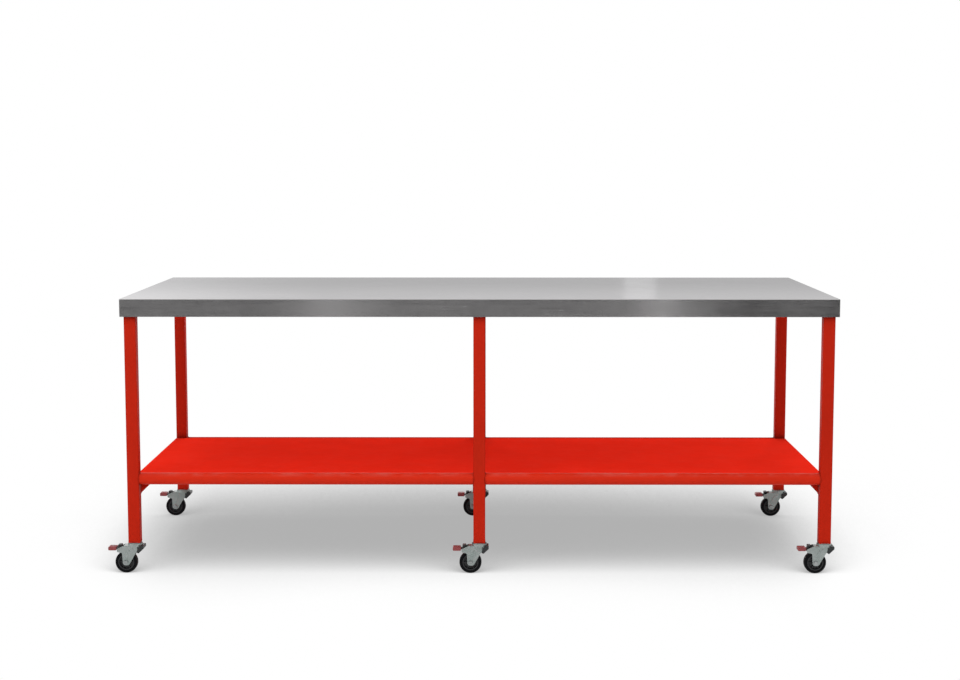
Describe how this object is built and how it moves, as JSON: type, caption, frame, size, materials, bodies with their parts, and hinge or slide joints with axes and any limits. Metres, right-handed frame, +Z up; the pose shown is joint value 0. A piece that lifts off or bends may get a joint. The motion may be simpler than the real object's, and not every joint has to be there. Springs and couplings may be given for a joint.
{
  "type": "assembly table",
  "caption": "Mobile assembly table: stainless worktop on a red square-tube frame with lower shelf and swivel castors with pedal brakes.",
  "frame": {"origin": "on the floor, under the centre of the whole part with its brake pedals", "axes": "+X along the table's length, +Y from the front with the shelf's rail to the back, +Z up"},
  "size_m": [2.458, 1, 0.935],
  "materials": {
    "stainless": "ground stainless sheet, grain along the length",
    "board": "raw particle board",
    "frame_red": "red powder coat, semi-gloss",
    "shelf_red": "red powder coat on flat sheet, semi-gloss",
    "screw_steel": "zinc-plated screws",
    "zinc": "bright zinc plating on pressed steel",
    "bolt_zinc": "zinc-plated bolt, nut and rivet",
    "ball_steel": "polished bearing steel",
    "tyre": "black solid rubber",
    "wheel_plastic": "black moulded polypropylene",
    "bush_steel": "turned steel sleeve",
    "brake_black": "black coated steel",
    "pedal_red": "red moulded plastic"
  },
  "bodies": {
    "table": {"worktop_skin": "stainless", "worktop_board": "board", "top_long_rails": "frame_red", "top_cross_rails": "frame_red", "leg_end_plates": "frame_red", "fixing_tabs": "frame_red", "fixing_screws": "screw_steel", "shelf_sheet": "shelf_red", "shelf_front_rail": "frame_red", "shelf_support_rails": "frame_red", "castor_stems": "zinc", "swivel_balls": "ball_steel", "leg_front_left": "frame_red", "leg_front_middle": "frame_red", "leg_front_right": "frame_red", "leg_back_left": "frame_red", "leg_back_middle": "frame_red", "leg_back_right": "frame_red"},
    "swivel_front_left": {"fork_front_left": "zinc", "fork_pins_front_left": "bolt_zinc"},
    "wheel_front_left": {"tyre_front_left": "tyre", "wheel_centre_front_left": "wheel_plastic", "wheel_bush_front_left": "bush_steel"},
    "brake_front_left": {"brake_lever_front_left": "brake_black", "brake_pedal_front_left": "pedal_red"},
    "swivel_front_middle": {"fork_front_middle": "zinc", "fork_pins_front_middle": "bolt_zinc"},
    "wheel_front_middle": {"tyre_front_middle": "tyre", "wheel_centre_front_middle": "wheel_plastic", "wheel_bush_front_middle": "bush_steel"},
    "brake_front_middle": {"brake_lever_front_middle": "brake_black", "brake_pedal_front_middle": "pedal_red"},
    "swivel_front_right": {"fork_front_right": "zinc", "fork_pins_front_right": "bolt_zinc"},
    "wheel_front_right": {"tyre_front_right": "tyre", "wheel_centre_front_right": "wheel_plastic", "wheel_bush_front_right": "bush_steel"},
    "brake_front_right": {"brake_lever_front_right": "brake_black", "brake_pedal_front_right": "pedal_red"},
    "swivel_back_left": {"fork_back_left": "zinc", "fork_pins_back_left": "bolt_zinc"},
    "wheel_back_left": {"tyre_back_left": "tyre", "wheel_centre_back_left": "wheel_plastic", "wheel_bush_back_left": "bush_steel"},
    "brake_back_left": {"brake_lever_back_left": "brake_black", "brake_pedal_back_left": "pedal_red"},
    "swivel_back_middle": {"fork_back_middle": "zinc", "fork_pins_back_middle": "bolt_zinc"},
    "wheel_back_middle": {"tyre_back_middle": "tyre", "wheel_centre_back_middle": "wheel_plastic", "wheel_bush_back_middle": "bush_steel"},
    "brake_back_middle": {"brake_lever_back_middle": "brake_black", "brake_pedal_back_middle": "pedal_red"},
    "swivel_back_right": {"fork_back_right": "zinc", "fork_pins_back_right": "bolt_zinc"},
    "wheel_back_right": {"tyre_back_right": "tyre", "wheel_centre_back_right": "wheel_plastic", "wheel_bush_back_right": "bush_steel"},
    "brake_back_right": {"brake_lever_back_right": "brake_black", "brake_pedal_back_right": "pedal_red"}
  },
  "joints": [
    {"name": "swivel_front_left", "type": "hinge", "parent": "table", "child": "swivel_front_left", "pos_m": [-1.139, -0.468, 0.1], "axis": [0, 0, 1], "continuous": true},
    {"name": "roll_front_left", "type": "hinge", "parent": "swivel_front_left", "child": "wheel_front_left", "pos_m": [-1.169, -0.468, 0.0375], "axis": [0, 1, 0], "continuous": true},
    {"name": "brake_front_left", "type": "hinge", "parent": "swivel_front_left", "child": "brake_front_left", "pos_m": [-1.147, -0.468, 0.08], "axis": [0, -1, 0], "range_deg": [0, 4]},
    {"name": "swivel_front_middle", "type": "hinge", "parent": "table", "child": "swivel_front_middle", "pos_m": [0.029, -0.468, 0.1], "axis": [0, 0, 1], "continuous": true},
    {"name": "roll_front_middle", "type": "hinge", "parent": "swivel_front_middle", "child": "wheel_front_middle", "pos_m": [-0.001, -0.468, 0.0375], "axis": [0, 1, 0], "continuous": true},
    {"name": "brake_front_middle", "type": "hinge", "parent": "swivel_front_middle", "child": "brake_front_middle", "pos_m": [0.021, -0.468, 0.08], "axis": [0, -1, 0], "range_deg": [0, 4]},
    {"name": "swivel_front_right", "type": "hinge", "parent": "table", "child": "swivel_front_right", "pos_m": [1.197, -0.468, 0.1], "axis": [0, 0, 1], "continuous": true},
    {"name": "roll_front_right", "type": "hinge", "parent": "swivel_front_right", "child": "wheel_front_right", "pos_m": [1.167, -0.468, 0.0375], "axis": [0, 1, 0], "continuous": true},
    {"name": "brake_front_right", "type": "hinge", "parent": "swivel_front_right", "child": "brake_front_right", "pos_m": [1.189, -0.468, 0.08], "axis": [0, -1, 0], "range_deg": [0, 4]},
    {"name": "swivel_back_left", "type": "hinge", "parent": "table", "child": "swivel_back_left", "pos_m": [-1.139, 0.468, 0.1], "axis": [0, 0, 1], "continuous": true},
    {"name": "roll_back_left", "type": "hinge", "parent": "swivel_back_left", "child": "wheel_back_left", "pos_m": [-1.169, 0.468, 0.0375], "axis": [0, 1, 0], "continuous": true},
    {"name": "brake_back_left", "type": "hinge", "parent": "swivel_back_left", "child": "brake_back_left", "pos_m": [-1.147, 0.468, 0.08], "axis": [0, -1, 0], "range_deg": [0, 4]},
    {"name": "swivel_back_middle", "type": "hinge", "parent": "table", "child": "swivel_back_middle", "pos_m": [0.029, 0.468, 0.1], "axis": [0, 0, 1], "continuous": true},
    {"name": "roll_back_middle", "type": "hinge", "parent": "swivel_back_middle", "child": "wheel_back_middle", "pos_m": [-0.001, 0.468, 0.0375], "axis": [0, 1, 0], "continuous": true},
    {"name": "brake_back_middle", "type": "hinge", "parent": "swivel_back_middle", "child": "brake_back_middle", "pos_m": [0.021, 0.468, 0.08], "axis": [0, -1, 0], "range_deg": [0, 4]},
    {"name": "swivel_back_right", "type": "hinge", "parent": "table", "child": "swivel_back_right", "pos_m": [1.197, 0.468, 0.1], "axis": [0, 0, 1], "continuous": true},
    {"name": "roll_back_right", "type": "hinge", "parent": "swivel_back_right", "child": "wheel_back_right", "pos_m": [1.167, 0.468, 0.0375], "axis": [0, 1, 0], "continuous": true},
    {"name": "brake_back_right", "type": "hinge", "parent": "swivel_back_right", "child": "brake_back_right", "pos_m": [1.189, 0.468, 0.08], "axis": [0, -1, 0], "range_deg": [0, 4]}
  ]
}
